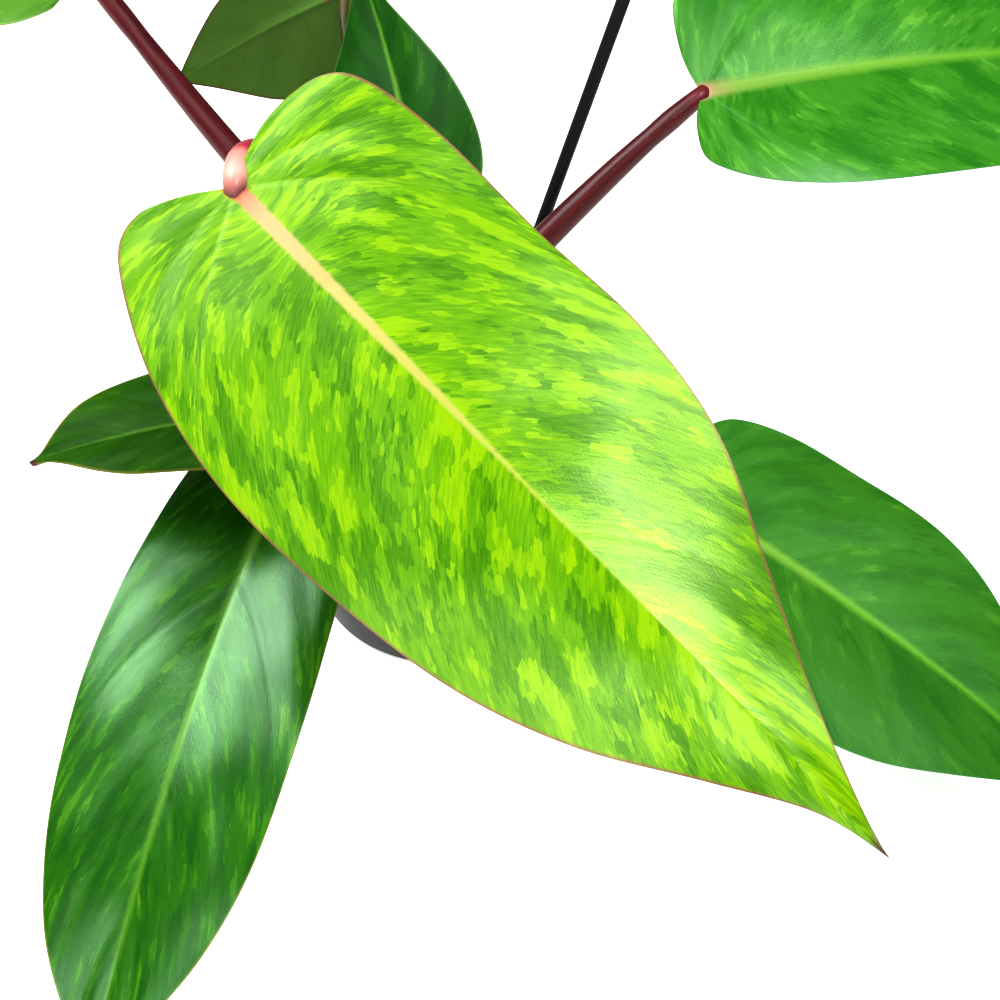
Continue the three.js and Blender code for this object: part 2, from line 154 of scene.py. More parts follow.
# Stalks
STALK_ROOT = 3
STALK_FOOT_RADIUS = 3.8
STALK_TOP_RADIUS = 1.75
STALK_TAPER = 2.2
STALK_RINGS = 90
STALK_SIDES = 28
KNEE_LENGTH = 0.1
KNEE_SWELL = 0.45
# The end past the knee runs on under the midrib, sinks away from it and thins
END_RINGS = 9
END_RUN = (0.8, 10)
END_SINK = (0.8, 3.6)
END_TAPER = (0.93, 0.2)

# Stem, its aerial roots as (turn in degrees, height), shoot and stake
STEM_FOOT = 48
STEM_TOP = 128
STEM_RADIUS = 6.4
STEM_TOP_RADIUS = 5
NODE_SWELL = 0.6
NODE_HEIGHT = 2.2
STEM_RINGS = 161
STEM_SIDES = 40
ROOT_LENGTH = 12.5
ROOT_RADIUS = 1.5
ROOT_TIP_RADIUS = 0.7
ROOT_RINGS = 16
AERIAL_ROOTS = [(20, 86), (130, 90), (200, 84), (300, 87)]
SHOOT_FOOT = (2, 2, 128.3)
SHOOT_TIP = (9, 7, 166)
SHOOT_RADIUS = 2.7
SHOOT_TIP_RADIUS = 0.4
SHOOT_UPRIGHT = 0.6
SHOOT_SUNK = 1.5
SHOOT_RINGS = 60
SHOOT_RIPPLE = 0.04
STAKE_FOOT = (9, 12, 60)
STAKE_TOP = (65.5, 46, 230)
STAKE_RADIUS = 2
STAKE_POINT = 4
STAKE_DOME = 1.2

# Pot and potting mix
POT_HEIGHT = 92
POT_BASE_RADIUS = 46
POT_CORNER = 3
POT_RIM_RADIUS = 63
POT_WALL = 1.5
COLLAR_HEIGHT = 15
COLLAR_STEP = 2.2
COLLAR_FOOT = POT_HEIGHT - COLLAR_HEIGHT
WALL_TOP = (POT_BASE_RADIUS + (POT_RIM_RADIUS - POT_BASE_RADIUS) * COLLAR_FOOT / POT_HEIGHT
            - COLLAR_STEP / 2)
LIP_ROUND = 1.4
DRAIN_HOLES = 6
DRAIN_RADIUS = 5
DRAIN_RING_RADIUS = 33
SOIL_TOP = 78
SOIL_CROWN = 2.5
SOIL_CROWN_RADIUS = 50
SOIL_LUMP = 0.9
SOIL_FINE = 0.45
SOIL_EDGE = 58
SOIL_EDGE_RUN = 12
SOIL_GAP = 0.3
SOIL_RINGS = 44
SOIL_SIDES = 150
TURNED_WELD = 0.001
# Loose grains: how many of each are drawn, how far out they lie and what they stay clear of
PERLITE = 130
BARK = 110
CRUMBS = 900
GRAIN_SPREAD = 53
STEM_CLEARANCE = 9
STAKE_AT_SOIL = (15.5, 16)
STAKE_CLEARANCE = 4

# Camera: it looks down at 45 degrees from in front of the plant
CAMERA_PLACE = (20, -371.5, 407)
CAMERA_TILT = math.radians(45)
LENS = 54
SENSOR = 36


def mix(a, b, share):
    """The value a share of the way from a to b"""
    return a + (b - a) * share


def linear(code):
    """An sRGB hex colour as linear red, green, blue and alpha"""
    channels = [int(code[i:i + 2], 16) / 255 for i in (1, 3, 5)]
    return [c / 12.92 if c <= 0.04045 else ((c + 0.055) / 1.055) ** 2.4 for c in channels] + [1]


def unit(vectors):
    """The same directions with a length of one"""
    return vectors / np.linalg.norm(vectors, axis=-1, keepdims=True)


def spline(points, share):
    """Even Catmull-Rom curve through the points, at every share of the way"""
    points = np.array(points, float)
    last = len(points) - 1
    spot = np.clip(share, 0, 1) * last
    i = np.minimum(spot.astype(int), last - 1)
    f = (spot - i)[..., None]
    p0, p1, p2, p3 = (points[np.clip(i + k, 0, last)] for k in (-1, 0, 1, 2))
    return p1 + 0.5 * f * (p2 - p0 + f * (2 * p0 - 5 * p1 + 4 * p2 - p3
                                          + f * (3 * (p1 - p2) + p3 - p0)))


def midrib_curve(leaf):
    """Base, crown and tip of the midrib's arch, the blade's length and the way it faces"""
    base, tip = np.array(leaf.base, float), np.array(leaf.tip, float)
    length = np.linalg.norm(tip - base)
    chord = (tip - base) / length
    face = np.array(leaf.face, float)
    face = unit(face - chord * (face @ chord))
    crown = (base + tip) / 2 + 2 * leaf.bow * face + 2 * leaf.swing * np.cross(chord, face)
    return base, crown, tip, length, face


def blade_half(leaf, side):
    """Middle surface of one half of a blade, row by row along the side veins, with its measures"""
    base, crown, tip, length, face = midrib_curve(leaf)
    width = leaf.right if side > 0 else leaf.left
    vein = np.linspace(0, 1, leaf.rows + 1)[:, None]
    out = (np.linspace(0, 1, leaf.columns + 1) ** COLUMN_SPREAD)[None, :]

    edge = spline(leaf.outlines[1 if side > 0 else 0], vein[:, 0]) * (length, width)
    edge = edge * (1 - LOBE_ROUNDING * np.clip(1 - vein / ROUNDED_VEINS, 0, 1) ** 2)
    root = np.zeros_like(edge)
    root[:, 0] = length * np.maximum(0, (vein[:, 0] - FAN_VEINS) / (1 - FAN_VEINS))
    reach = edge - root
    turn = np.array([[math.cos(VEIN_SWEEP), math.sin(VEIN_SWEEP)],
                     [-math.sin(VEIN_SWEEP), math.cos(VEIN_SWEEP)]])
    bend = root + 0.5 * reach @ turn
    o = out[..., None]
    flat = ((1 - o) ** 2 * root[:, None] + 2 * o * (1 - o) * bend[:, None]
            + o ** 2 * edge[:, None])
    x, y = flat[..., 0], flat[..., 1]
    share = np.clip(x / length, 0, 1)

    s = share[..., None]
    tangent = unit(2 * (1 - s) * (crown - base) + 2 * s * (tip - crown))
    centre = (1 - s) ** 2 * base + 2 * s * (1 - s) * crown + s ** 2 * tip
    centre = centre + tangent * np.minimum(x, 0)[..., None]
    across = unit(np.cross(tangent, face))
    up = np.cross(across, tangent)
    twist = np.radians(leaf.twist) * (share - TWIST_START)
    across, up = (across * np.cos(twist)[..., None] - up * np.sin(twist)[..., None],
                  up * np.cos(twist)[..., None] + across * np.sin(twist)[..., None])
    return vein, out, flat, share, reach, width, length, centre, across, up


def blade_relief(leaf, side, vein, out, flat):
    """Grooves along the side veins, the soft swelling between them and a slow unevenness"""
    spacing = np.linalg.norm(np.gradient(flat, axis=0), axis=-1) * leaf.rows / leaf.veins
    phase = vein * leaf.veins - 0.5
    to_vein = np.abs(phase - np.round(phase)) * spacing
    room = np.clip(spacing / SWELL_SPACING, 0, 1) ** 1.5
    seed = 7 * int(leaf.name) + side
    lively = 0.65 + 0.35 * np.sin(3.1 * phase + seed) * np.cos(5 * out + seed)
    groove = -VEIN_GROOVE * np.exp(-(to_vein / VEIN_WIDTH) ** 2) * (1 - out ** 3) * room
    between = 0.5 + 0.5 * np.cos(2 * math.pi * vein * leaf.veins)
    swelling = leaf.quilt * between * np.sin(math.pi * out ** 0.8) * room * lively
    # Waves of about 80 by 45 mm, with smaller ones of about 35 mm
    x, y = flat[..., 0], flat[..., 1]
    uneven = np.sin(x / 13 + seed) * np.sin(y / 7 + 2 * seed) + 0.5 * np.sin(x / 5.3 + y / 9)
    uneven = UNEVENNESS * uneven * np.minimum(1, out * 3)
    return groove + swelling + uneven, to_vein


def blade(leaf):
    """Leaf blade: both halves, upper and lower side, with the midrib as a ridge below"""
    points, faces, grain, place, span = [], [], [], [], []
    count = 0
    for side in (1, -1):
        vein, out, flat, share, reach, width, length, centre, across, up = blade_half(leaf, side)
        x, y = flat[..., 0], flat[..., 1]
        vein_length = np.linalg.norm(reach, axis=-1)[:, None]
        relief, to_vein = blade_relief(leaf, side, vein, out, flat)
        fold = np.radians(mix(leaf.fold, leaf.tip_fold, share))
        ripple = leaf.wave * np.sin(2 * math.pi * MARGIN_WAVES * vein + side) * out ** 3
        rise = y * np.sin(fold) - leaf.arch * width * (y / width) ** 2 + ripple + relief
        middle = centre + across * (side * y * np.cos(fold))[..., None] + up * rise[..., None]
        half = mix(BLADE_THICKNESS, MARGIN_THICKNESS, out ** 4) / 2
        near_rib = np.exp(-(y / RIB_WIDTH) ** 2)
        ridge = mix(RIB_RIDGE, 0, np.clip(share / RIDGE_END, 0, 1)) * near_rib
        ridge = ridge + KNEE_RIDGE * near_rib * np.exp(-np.maximum(x, 0) / KNEE_RIDGE_REACH)
        keel = mix(RIB_DEPTH, RIB_TIP_DEPTH, share) * near_rib
        upper = middle + up * (half + ridge)[..., None]
        lower = middle - up * (half + keel)[..., None]
        rows, columns = y.shape
        index = np.arange(rows * columns).reshape(rows, columns) + count
        below = index + rows * columns
        count += 2 * rows * columns
        for sheet, flip in ((index, side < 0), (below, side > 0)):
            quads = np.stack([sheet[:-1, :-1], sheet[:-1, 1:], sheet[1:, 1:], sheet[1:, :-1]], -1)
            quads = quads.reshape(-1, 4)
            faces.extend((quads[:, ::-1] if flip else quads).tolist())
        for top, low in ((index[0], below[0]), (index[:, -1], below[:, -1])):
            wall = np.stack([top[:-1], top[1:], low[1:], low[:-1]], -1)
            faces.extend(wall.tolist())
        notch = np.hypot(np.maximum(x, 0), y)
        level = np.exp(-(notch / NOTCH_REACH) ** 2)
        lean = NOTCH_LEAN * y * np.clip((x - LEAN_START) / LEAN_RUN, 0, 1)
        over = mix(vein * length * GRAIN_STRETCH, x + NOTCH_SHIFT - lean, level)
        outward = side * mix(out * vein_length, y, level)
        to_margin = (1 - out) * vein_length * MARGIN_SLANT
        for sheet, is_upper in ((upper, 1), (lower, 0)):
            points.append(sheet.reshape(-1, 3) * MM)
            grain.append(np.stack([over, outward, 0 * y + GRAIN_GAP * int(leaf.name)],
                                  -1).reshape(-1, 3))
            place.append(np.stack([y, to_margin, to_vein], -1).reshape(-1, 3))
            span.append(np.stack([share, is_upper + 0 * y, notch], -1).reshape(-1, 3))
    mesh = bpy.data.meshes.new(f"blade_{leaf.name}")
    mesh.from_pydata(np.concatenate(points).tolist(), [], faces)
    for name, values in (("grain", grain), ("place", place), ("span", span)):
        layer = mesh.attributes.new(name, "FLOAT_VECTOR", "POINT")
        layer.data.foreach_set("vector", np.concatenate(values).ravel())
    weld(mesh, BLADE_WELD)
    return piece(f"blade_{leaf.name}", mesh)


def weld(mesh, distance):
    """Joins points that lie within a distance in millimetres and turns all faces outward"""
    work = bmesh.new()
    work.from_mesh(mesh)
    bmesh.ops.remove_doubles(work, verts=work.verts, dist=distance * MM)
    bmesh.ops.recalc_face_normals(work, faces=work.faces)
    work.to_mesh(mesh)
    work.free()


def piece(name, mesh, sharp=50):
    """Puts a mesh in the scene as a smooth piece that rides on the pot"""
    for face in mesh.polygons:
        face.use_smooth = True
    mesh.set_sharp_from_angle(angle=math.radians(sharp))
    made = bpy.data.objects.new(name, mesh)
    bpy.context.scene.collection.objects.link(made)
    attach(made, "root")
    return made


def tube(name, path, radii, sides):
    """Round tube along a path, closed at both ends, with its length and turn kept as measures"""
    path = np.array(path, float)
    tangents = unit(np.gradient(path, axis=0))
    # The first normal comes from a direction that no tube starts along
    normal = unit(np.cross(tangents[0], (0.31, 0.17, 0.94)))
    points, measures = [], []
    travelled = np.concatenate([[0], np.cumsum(np.linalg.norm(np.diff(path, axis=0), axis=1))])
    angles = np.linspace(0, 2 * math.pi, sides, endpoint=False)
    for centre, tangent, radius, gone in zip(path, tangents, radii, travelled):
        normal = unit(normal - tangent * (normal @ tangent))
        binormal = np.cross(tangent, normal)
        points.append(centre + radius * (np.cos(angles)[:, None] * normal
                                         + np.sin(angles)[:, None] * binormal))
        measures.extend([gone, gone / travelled[-1], k / sides] for k in range(sides))
    count = len(path)
    faces = []
    for i in range(count - 1):
        for k in range(sides):
            n = (k + 1) % sides
            faces.append([i * sides + k, i * sides + n, (i + 1) * sides + n, (i + 1) * sides + k])
    faces.append(list(range(sides))[::-1])
    faces.append([(count - 1) * sides + k for k in range(sides)])
    mesh = bpy.data.meshes.new(name)
    mesh.from_pydata((np.concatenate(points) * MM).tolist(), [], faces)
    layer = mesh.attributes.new("run", "FLOAT_VECTOR", "POINT")
    layer.data.foreach_set("vector", np.array(measures).ravel())
    return mesh


def bezier(controls, share):
    """Points of a Bezier curve of any degree"""
    points = np.repeat(np.array(controls, float)[None], len(share), axis=0)
    s = np.array(share)[:, None, None]
    while points.shape[1] > 1:
        points = mix(points[:, :-1], points[:, 1:], s)
    return points[:, 0]


def even_steps(controls, count):
    """The same curve at even steps of its length"""
    dense = bezier(controls, np.linspace(0, 1, 400))
    gone = np.concatenate([[0], np.cumsum(np.linalg.norm(np.diff(dense, axis=0), axis=1))])
    steps = np.linspace(0, gone[-1], count)
    return np.stack([np.interp(steps, gone, dense[:, k]) for k in range(3)], -1)


def stalk(leaf):
    """Leaf stalk from inside the stem, with its knee, running out under the blade's midrib"""
    base, crown, tip, length, face = midrib_curve(leaf)
    angle = math.atan2(leaf.leave[1], leaf.leave[0])
    start = np.array([STALK_ROOT * math.cos(angle), STALK_ROOT * math.sin(angle), leaf.node])
    path = even_steps([start, start + leaf.leave, base - leaf.arrive, base], STALK_RINGS)
    share = np.linspace(0, 1, STALK_RINGS)
    knee = np.clip(2 - (1 - share) / KNEE_LENGTH, 0, 1)
    knee = knee * knee * (3 - 2 * knee)
    radii = leaf.stalk * (mix(STALK_FOOT_RADIUS, STALK_TOP_RADIUS, share ** STALK_TAPER)
                          + KNEE_SWELL * knee)
    along = unit(crown - base)
    end = (base + np.outer(np.linspace(*END_RUN, END_RINGS), along)
           - np.outer(np.linspace(*END_SINK, END_RINGS), face))
    thin = radii[-1] * np.linspace(*END_TAPER, END_RINGS)
    mesh = tube(f"stalk_piece_{leaf.name}", np.concatenate([path, end]),
                np.concatenate([radii, thin]), STALK_SIDES)
    return piece(f"stalk_piece_{leaf.name}", mesh)


def stem_piece():
    """Short upright stem with a ring at each leaf, rounded off on top"""
    heights = np.linspace(STEM_FOOT, STEM_TOP, STEM_RINGS)
    nodes = np.array([leaf.node for leaf in LEAVES])
    away = np.abs(heights[:, None] - nodes[None]).min(1)
    share = (heights - STEM_FOOT) / (STEM_TOP - STEM_FOOT)
    swell = NODE_SWELL * np.exp(-(away / NODE_HEIGHT) ** 2)
    radii = mix(STEM_RADIUS, STEM_TOP_RADIUS, share) + swell
    radii[-3:] *= (0.97, 0.88, 0.7)
    path = np.stack([0 * heights, 0 * heights, heights], -1)
    return piece("stem_piece", tube("stem_piece", path, radii, STEM_SIDES))


def aerial_root(number, turn, height):
    """Stub of a root that leaves the stem about level and droops at its tip"""
    way = np.array([math.cos(math.radians(turn)), math.sin(math.radians(turn)), 0])
    controls = [way * (0.25 * ROOT_LENGTH) + (0, 0, height),
                way * (0.7 * ROOT_LENGTH) + (0, 0, height + 1),
                way * ROOT_LENGTH + (0, 0, height - 2)]
    share = np.linspace(0, 1, ROOT_RINGS)
    radii = mix(ROOT_RADIUS, ROOT_TIP_RADIUS, share)
    radii[-1] *= 0.5
    name = f"aerial_root_{number}"
    return piece(name, tube(name, bezier(controls, share), radii, 14))


def shoot_piece():
    """Rolled next leaf in its pink sheath"""
    foot = np.array(SHOOT_FOOT, float)
    middle = np.array([foot[0], foot[1], mix(foot[2], SHOOT_TIP[2], SHOOT_UPRIGHT)])
    share = np.linspace(0, 1, SHOOT_RINGS)
    radii = SHOOT_TIP_RADIUS + (SHOOT_RADIUS - SHOOT_TIP_RADIUS) * np.sqrt(1 - share)
    radii = radii * (1 + SHOOT_RIPPLE * np.sin(share * 30))
    path = bezier([foot - (0, 0, SHOOT_SUNK), middle, SHOOT_TIP], share)
    return piece("shoot_piece", tube("shoot_piece", path, radii, 24))


def lathe(name, profile, sides):
    """Closed turned shell from a profile of (radius, height) that starts and ends on the axis"""
    points, faces, rings = [], [], []
    for radius, height in profile:
        if radius == 0:
            rings.append([len(points)] * sides)
            points.append((0, 0, height * MM))
            continue
        rings.append(list(range(len(points), len(points) + sides)))
        for k in range(sides):
            turn = 2 * math.pi * k / sides
            points.append((radius * math.cos(turn) * MM, radius * math.sin(turn) * MM, height * MM))
    for low, high in zip(rings, rings[1:]):
        for k in range(sides):
            n = (k + 1) % sides
            corners = [low[k], low[n], high[n], high[k]]
            face = [c for i, c in enumerate(corners) if c not in corners[:i]]
            if len(face) > 2:
                faces.append(face)
    mesh = bpy.data.meshes.new(name)
    mesh.from_pydata(points, [], faces)
    weld(mesh, TURNED_WELD)
    return mesh


def stake_piece():
    """Black rod, pointed below and rounded on top, leaning as it stands"""
    foot, top = Vector(STAKE_FOOT), Vector(STAKE_TOP)
    length = (top - foot).length
    profile = [(0, 0), (0.5 * STAKE_RADIUS, 0), (STAKE_RADIUS, STAKE_POINT)]
    straight = length - STAKE_DOME
    profile += [(STAKE_RADIUS, mix(STAKE_POINT, straight, k / 8)) for k in range(1, 9)]
    profile += [(STAKE_RADIUS * math.cos(k * math.pi / 12),
                 straight + STAKE_DOME * math.sin(k * math.pi / 12)) for k in range(1, 6)]
    profile += [(0, length)]
    mesh = lathe("stake_piece", profile, 32)
    turn = Vector((0, 0, 1)).rotation_difference(top - foot).to_matrix().to_4x4()
    mesh.transform(Matrix.Translation(foot * MM) @ turn)
    return piece("stake_piece", mesh)


def pot_piece():
    """Nursery pot, turned from the outside up, over the lip and down the inside, then drilled"""
    inner = POT_BASE_RADIUS - POT_WALL
    lip = [(POT_RIM_RADIUS + LIP_ROUND * (math.cos(a) - 1),
            POT_HEIGHT + LIP_ROUND * (math.sin(a) - 1))
           for a in np.linspace(-0.4, math.pi - 0.5, 9)]
    corner = [(POT_BASE_RADIUS - POT_CORNER + POT_CORNER * math.sin(a),
               POT_CORNER - POT_CORNER * math.cos(a)) for a in np.linspace(0, 1.35, 8)]
    profile = [(0, 0), *corner, (mix(POT_BASE_RADIUS, WALL_TOP, 0.33), COLLAR_FOOT * 0.33),
               (mix(POT_BASE_RADIUS, WALL_TOP, 0.66), COLLAR_FOOT * 0.66),
               (WALL_TOP - 0.1, COLLAR_FOOT - 0.6), (WALL_TOP + 0.3, COLLAR_FOOT),
               (WALL_TOP + COLLAR_STEP - 0.4, COLLAR_FOOT + 0.4),
               (WALL_TOP + COLLAR_STEP, COLLAR_FOOT + 1.1), *lip,
               (WALL_TOP + COLLAR_STEP - POT_WALL, COLLAR_FOOT + 1.5),
               (WALL_TOP - POT_WALL, COLLAR_FOOT), (inner + 0.5, POT_CORNER + 1),
               (inner - POT_CORNER, POT_WALL), (0, POT_WALL)]
    made = piece("pot_piece", lathe("pot_piece", profile, 144), sharp=35)
    drill_drain_holes(made)
    return made


def drill_drain_holes(made):
    """Cuts a ring of round holes through the pot's floor"""
    drills = bpy.data.meshes.new("drain_drills")
    work = bmesh.new()
    for k in range(DRAIN_HOLES):
        turn = 2 * math.pi * k / DRAIN_HOLES
        spot = Vector((DRAIN_RING_RADIUS * math.cos(turn), DRAIN_RING_RADIUS * math.sin(turn), 0.5))
        bmesh.ops.create_cone(work, cap_ends=True, segments=32, radius1=DRAIN_RADIUS * MM,
                              radius2=DRAIN_RADIUS * MM, depth=3 * POT_WALL * MM,
                              matrix=Matrix.Translation(spot * MM))
    work.to_mesh(drills)
    work.free()
    drill = bpy.data.objects.new("drain_drills", drills)
    bpy.context.scene.collection.objects.link(drill)
    cut = made.modifiers.new("drain_holes", "BOOLEAN")
    cut.object = drill
    cut.solver = "EXACT"
    settled = bpy.data.meshes.new_from_object(made.evaluated_get(
        bpy.context.evaluated_depsgraph_get()))
    made.modifiers.clear()
    made.data = settled
    bpy.data.objects.remove(drill)


def soil_height(x, y):
    """Height of the potting mix: a low crown with lumps"""
    radius = math.hypot(x, y)
    crown = SOIL_CROWN * max(0, 1 - radius / SOIL_CROWN_RADIUS)
    lump = math.sin(0.41 * x + 1) * math.cos(0.37 * y) + 0.5 * math.sin(0.83 * x - 0.7 * y)
    fine = SOIL_FINE * math.sin(2.1 * x + 0.9 * y) * math.sin(1.7 * y - 0.6 * x)
    rough = (SOIL_LUMP * lump + fine) * min(1, (SOIL_EDGE - radius) / SOIL_EDGE_RUN)
    return SOIL_TOP + SOIL_GAP + crown + rough


def soil_piece():
    """Potting mix: a lumpy top on a body that fills the pot"""
    top_radius = WALL_TOP - POT_WALL - 0.35
    rings, sides = SOIL_RINGS, SOIL_SIDES
    points = [(0, 0, soil_height(0, 0))]
    for ring in range(1, rings + 1):
        for k in range(sides):
            turn = 2 * math.pi * k / sides
            radius = top_radius * ring / rings
            x, y = radius * math.cos(turn), radius * math.sin(turn)
            points.append((x, y, soil_height(x, y)))
    low = POT_BASE_RADIUS - POT_WALL - POT_CORNER
    for k in range(sides):
        turn = 2 * math.pi * k / sides
        points.append((low * math.cos(turn), low * math.sin(turn), POT_WALL + SOIL_GAP))
    faces = [[0, 1 + k, 1 + (k + 1) % sides] for k in range(sides)]
    for ring in range(rings):
        for k in range(sides):
            a, b = 1 + ring * sides + k, 1 + ring * sides + (k + 1) % sides
            faces.append([a, a + sides, b + sides, b])
    faces.append([1 + rings * sides + k for k in range(sides)][::-1])
    mesh = bpy.data.meshes.new("soil_piece")
    mesh.from_pydata([(x * MM, y * MM, z * MM) for x, y, z in points], [], faces)
    weld(mesh, TURNED_WELD)
    return piece("soil_piece", mesh, sharp=70)


def grains(name, count, sizes, flatness, seed):
    """Loose grains scattered over the potting mix, each a rough lump of its own, in one mesh"""
    draw = random.Random(seed)
    work = bmesh.new()
    for _ in range(count):
        radius = GRAIN_SPREAD * math.sqrt(draw.random())
        turn = draw.uniform(0, 2 * math.pi)
        x, y = radius * math.cos(turn), radius * math.sin(turn)
        to_stake = math.hypot(x - STAKE_AT_SOIL[0], y - STAKE_AT_SOIL[1])
        if radius < STEM_CLEARANCE or to_stake < STAKE_CLEARANCE:
            continue
        size = draw.uniform(*sizes)
        lump = bmesh.ops.create_icosphere(work, subdivisions=1, radius=size * MM)["verts"]
        stretch = Vector((draw.uniform(0.7, 1.5), draw.uniform(0.6, 1), flatness))
        turned = Euler([draw.uniform(-0.6, 0.6), draw.uniform(-0.6, 0.6), draw.uniform(0, 6.3)])
        spot = Vector((x, y, soil_height(x, y) + 0.25 * size * flatness)) * MM
        for vert in lump:
            rough = 1 + draw.uniform(-0.2, 0.2)
            vert.co = spot + turned.to_matrix() @ (vert.co * stretch * rough)
    mesh = bpy.data.meshes.new(name)
    work.to_mesh(mesh)
    work.free()
    return piece(name, mesh, sharp=40)


def start_finish(name):
    """A new material, its shader, and the function that adds a node to it"""
    made = bpy.data.materials.new(name)
    made.use_nodes = True
    tree = made.node_tree

    def add(node, inputs, stops=(), **settings):
        """Adds a node, or takes one that is there, and gives it settings, links and values"""
        if isinstance(node, str):
            node = tree.nodes.new("ShaderNode" + node)
        for key, value in settings.items():
            setattr(node, key, value)
        for socket, value in inputs.items():
            if isinstance(value, bpy.types.Node):
                value = next(out for out in value.outputs if out.enabled)
            if isinstance(value, bpy.types.NodeSocket):
                tree.links.new(value, node.inputs[socket])
            else:
                node.inputs[socket].default_value = value
        for i, (place, code) in enumerate(stops):
            if i >= len(node.color_ramp.elements):
                node.color_ramp.elements.new(1)
            node.color_ramp.elements[i].position = place
            node.color_ramp.elements[i].color = linear(code)
        return node

    return made, tree.nodes["Principled BSDF"], add


def mottling(add, grain, rib, deep, light, soft, streaky, halo):
    """Tone of the mottling from 0, deep green, to 1, light green, with its rows of cells and its
    streaks. A high deep gives more deep patches and a low light more light ones. soft blurs
    their edges, streaky makes the streaks stand out, and halo pales the blade by the midrib"""
    # Rows of long cells, each of one tone
    rows = add("Mapping", {0: grain, "Scale": (1 / CELL_WIDTH, 1 / CELL_LENGTH, 1)})
    rows = add("TexVoronoi", {"Vector": rows, "Scale": 1})
    cells = rows.outputs["Position"]
    # Slow drifts shift the share of deep and light patches over the blade
    drift = add("Mapping", {0: grain, "Scale": (1 / DRIFT[0], 1 / DRIFT[1], 1)})
    drift = add("TexNoise", {"Vector": drift, "Scale": 1, "Detail": 1})
    drift = add("MapRange", {0: drift, 1: 0.3, 2: 0.7, 3: -0.05, 4: 0.05})
    patch = add("Mapping", {0: cells, "Scale": (CELL_WIDTH / DEEP_PATCH[0],
                                                CELL_LENGTH / DEEP_PATCH[1], 0.25)})
    patch = add("TexNoise", {"Vector": patch, "Scale": 1, "Detail": 3})
    patch = add("Math", {0: patch, 1: drift})
    dark = add("MapRange", {0: patch, 1: deep - soft, 2: deep + soft, 3: -0.36, 4: 0})
    patch = add("Mapping", {0: cells, "Scale": (CELL_WIDTH / PALE_PATCH[0],
                                                CELL_LENGTH / PALE_PATCH[1], -0.25)})
    patch = add("TexNoise", {"Vector": patch, "Scale": 1, "Detail": 3})
    patch = add("Math", {0: patch, 1: drift})
    pale = add("MapRange", {0: patch, 1: light - soft, 2: light + soft, 3: 0, 4: 0.4})
    streak = add("Mapping", {0: grain, "Scale": (1 / STREAK[0], 1 / STREAK[1], 1)})
    streak = add("TexNoise", {"Vector": streak, "Scale": 1, "Detail": 3, "Roughness": 0.6})
    tone = add("MapRange", {0: streak, 1: 0.25, 2: 0.75, 3: 0.5 - streaky, 4: 0.5 + streaky})
    tone = add("Math", {0: add("Math", {0: tone, 1: dark}), 1: pale})
    glow = add("MapRange", {0: rib, 1: 1, 2: 8, 3: halo, 4: 0})
    return add("Math", {0: tone, 1: glow}), rows, streak


